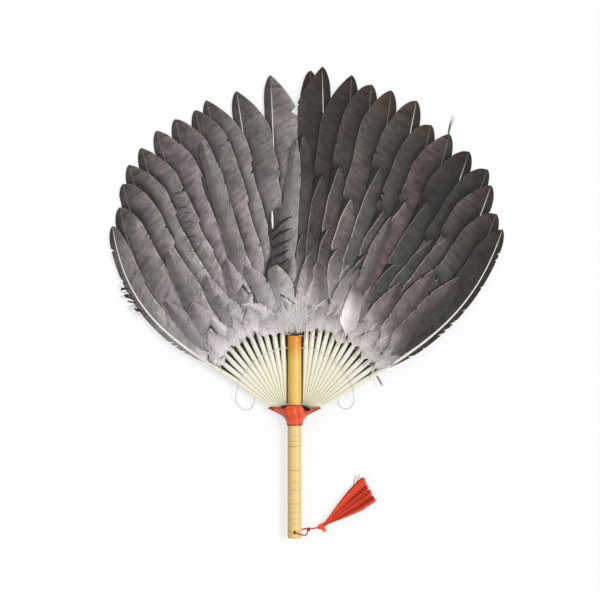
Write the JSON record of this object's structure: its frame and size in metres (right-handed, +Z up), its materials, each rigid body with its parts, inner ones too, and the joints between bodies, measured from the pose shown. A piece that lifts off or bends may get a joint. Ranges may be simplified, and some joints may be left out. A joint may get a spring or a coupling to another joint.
{
  "type": "feather hand fan",
  "caption": "Heart-shaped hand fan of overlapping flight feathers fixed in a flared collar on a bamboo rod grip, with a tassel on a cord loop.",
  "frame": {"origin": "middle of the base: the floor under the centre of the fan's box, tassel and loose thread left out", "axes": "+Y from the grip's butt towards the feather tips, +X to the right seen from the front, +Z up from the floor out of the fan's front, with the fan lying on its back"},
  "size_m": [0.3808, 0.4534, 0.0176],
  "materials": {
    "bamboo": "polished",
    "collar": "gloss",
    "glue": "clear amber glue",
    "feather_grey": "soft barbed feather, warm grey",
    "feather_brown": "soft barbed feather, grey brown",
    "down": "soft downy feather",
    "lining": "thin dark olive cloth, backed with short dark barbs",
    "thread": "twisted thread",
    "tassel": "silky strands"
  },
  "bodies": {
    "fan": {"bamboo_handle": "bamboo", "flared_collar": "collar", "left_root_glue": "glue", "left_feather_01": "feather_grey", "left_feather_02": "feather_grey", "left_feather_03": "feather_grey", "left_feather_04": "feather_grey", "left_feather_05": "feather_grey", "left_feather_06": "feather_grey", "left_feather_07": "feather_grey", "left_feather_08": "feather_grey", "left_feather_09": "feather_grey", "left_feather_10": "feather_grey", "left_feather_11": "feather_grey", "left_cover_1": "down", "left_cover_2": "down", "left_cover_3": "down", "left_cover_4": "down", "left_cover_5": "down", "left_cover_6": "down", "left_cover_7": "down", "right_root_glue": "glue", "right_feather_01": "feather_brown", "right_feather_02": "feather_brown", "right_feather_03": "feather_brown", "right_feather_04": "feather_brown", "right_feather_05": "feather_brown", "right_feather_06": "feather_brown", "right_feather_07": "feather_brown", "right_feather_08": "feather_brown", "right_feather_09": "feather_brown", "right_feather_10": "feather_brown", "right_feather_11": "feather_brown", "right_feather_12": "feather_brown", "right_feather_13": "feather_brown", "right_cover_1": "down", "right_cover_2": "down", "right_cover_3": "down", "right_cover_4": "down", "right_cover_5": "down", "right_cover_6": "down", "right_cover_7": "down", "back_lining": "lining", "spreader_thread": "thread", "left_thread_loop": "thread", "right_thread_loop": "thread"},
    "cord": {"tassel_cord": "tassel", "cord_knot": "tassel"},
    "tassel": {"tassel_knot": "tassel", "tassel_skirt": "tassel"}
  },
  "joints": [
    {"name": "tassel_swing", "type": "hinge", "parent": "fan", "child": "cord", "pos_m": [-0.01196, -0.22065, 0.0087], "axis": [0, 0, 1], "range_deg": [-215, 20]},
    {"name": "tassel_bend", "type": "hinge", "parent": "cord", "child": "tassel", "pos_m": [0.01404, -0.21605, 0.0036], "axis": [0, 0, 1], "range_deg": [-25, 25]}
  ]
}
